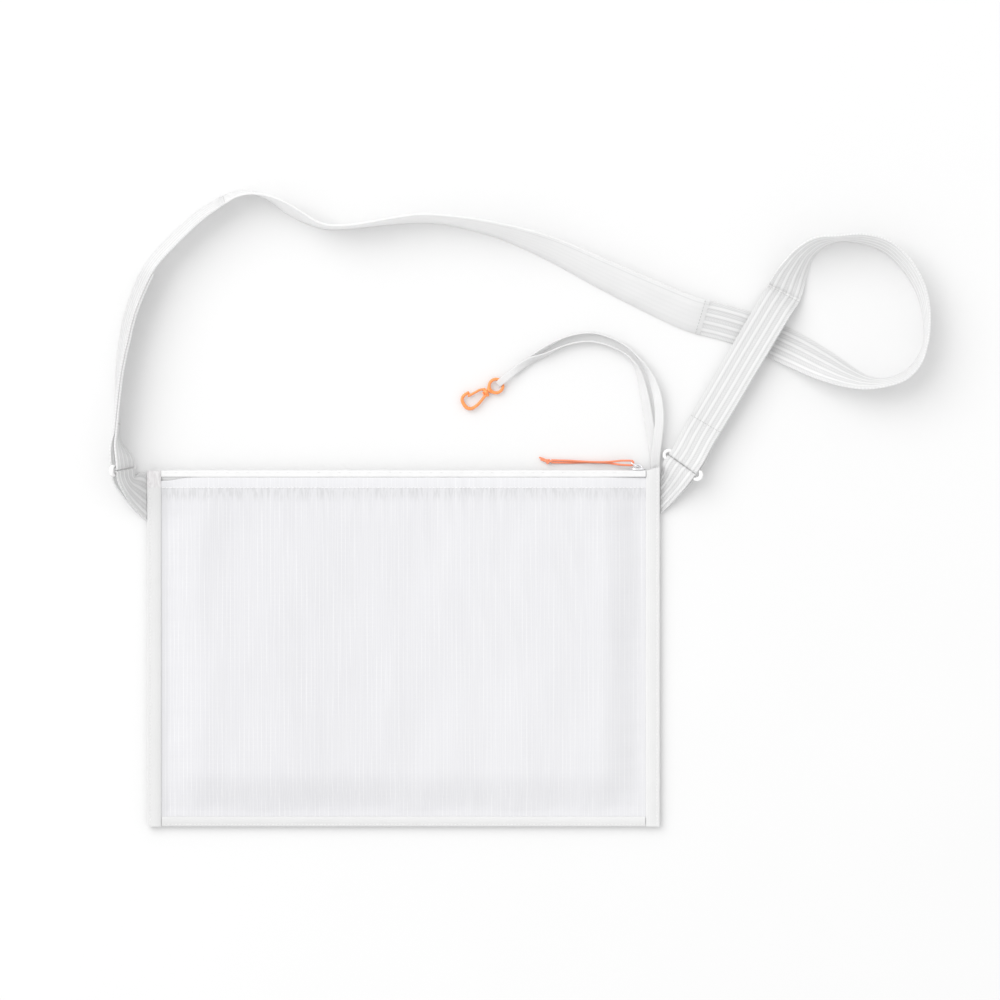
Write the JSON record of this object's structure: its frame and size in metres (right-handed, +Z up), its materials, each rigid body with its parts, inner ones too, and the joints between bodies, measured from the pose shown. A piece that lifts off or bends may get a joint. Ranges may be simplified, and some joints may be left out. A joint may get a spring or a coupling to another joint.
{
  "type": "cycling musette bag",
  "caption": "Thin zipped cloth pouch with bound edges, a ribbed webbing shoulder strap on two oval rings, a corded zip pull and a ribbon lanyard with a swivel snap hook.",
  "frame": {"origin": "middle of the pouch's back face, on the surface it lies on", "axes": "+Z up from the surface, +Y from the bottom hem to the zip, +X along the zip towards its slider"},
  "size_m": [0.5741, 0.4467, 0.0314],
  "materials": {
    "cloth": "matte",
    "tape": "matte",
    "zip": "satin",
    "webbing": "matte",
    "bright_metal": "polished",
    "ring_plastic": "gloss",
    "hook_plastic": "gloss",
    "pull_cord": "matte"
  },
  "bodies": {
    "bag": {"back_panel": "cloth", "front_panel": "cloth", "left_binding": "tape", "right_binding": "tape", "bottom_hem": "tape", "zip_tape_front": "tape", "zip_tape_back": "tape", "zip_coil": "zip", "zip_slider": "bright_metal", "pull_link": "bright_metal", "pull_cord_front": "pull_cord", "pull_cord_back": "pull_cord", "pull_knot": "pull_cord", "right_ring": "ring_plastic", "left_ring": "ring_plastic", "right_tab": "webbing", "left_tab": "webbing", "right_webbing": "webbing", "left_webbing": "webbing", "middle_webbing": "webbing", "lanyard_inner": "webbing", "lanyard_outer": "webbing", "hook_eye": "hook_plastic"},
    "hook": {"hook_body": "hook_plastic"}
  },
  "joints": [
    {"name": "hook_swivel", "type": "hinge", "parent": "bag", "child": "hook", "pos_m": [0.05897, 0.18057, 0.0027], "axis": [-0.8499, -0.527, 0], "continuous": true}
  ]
}
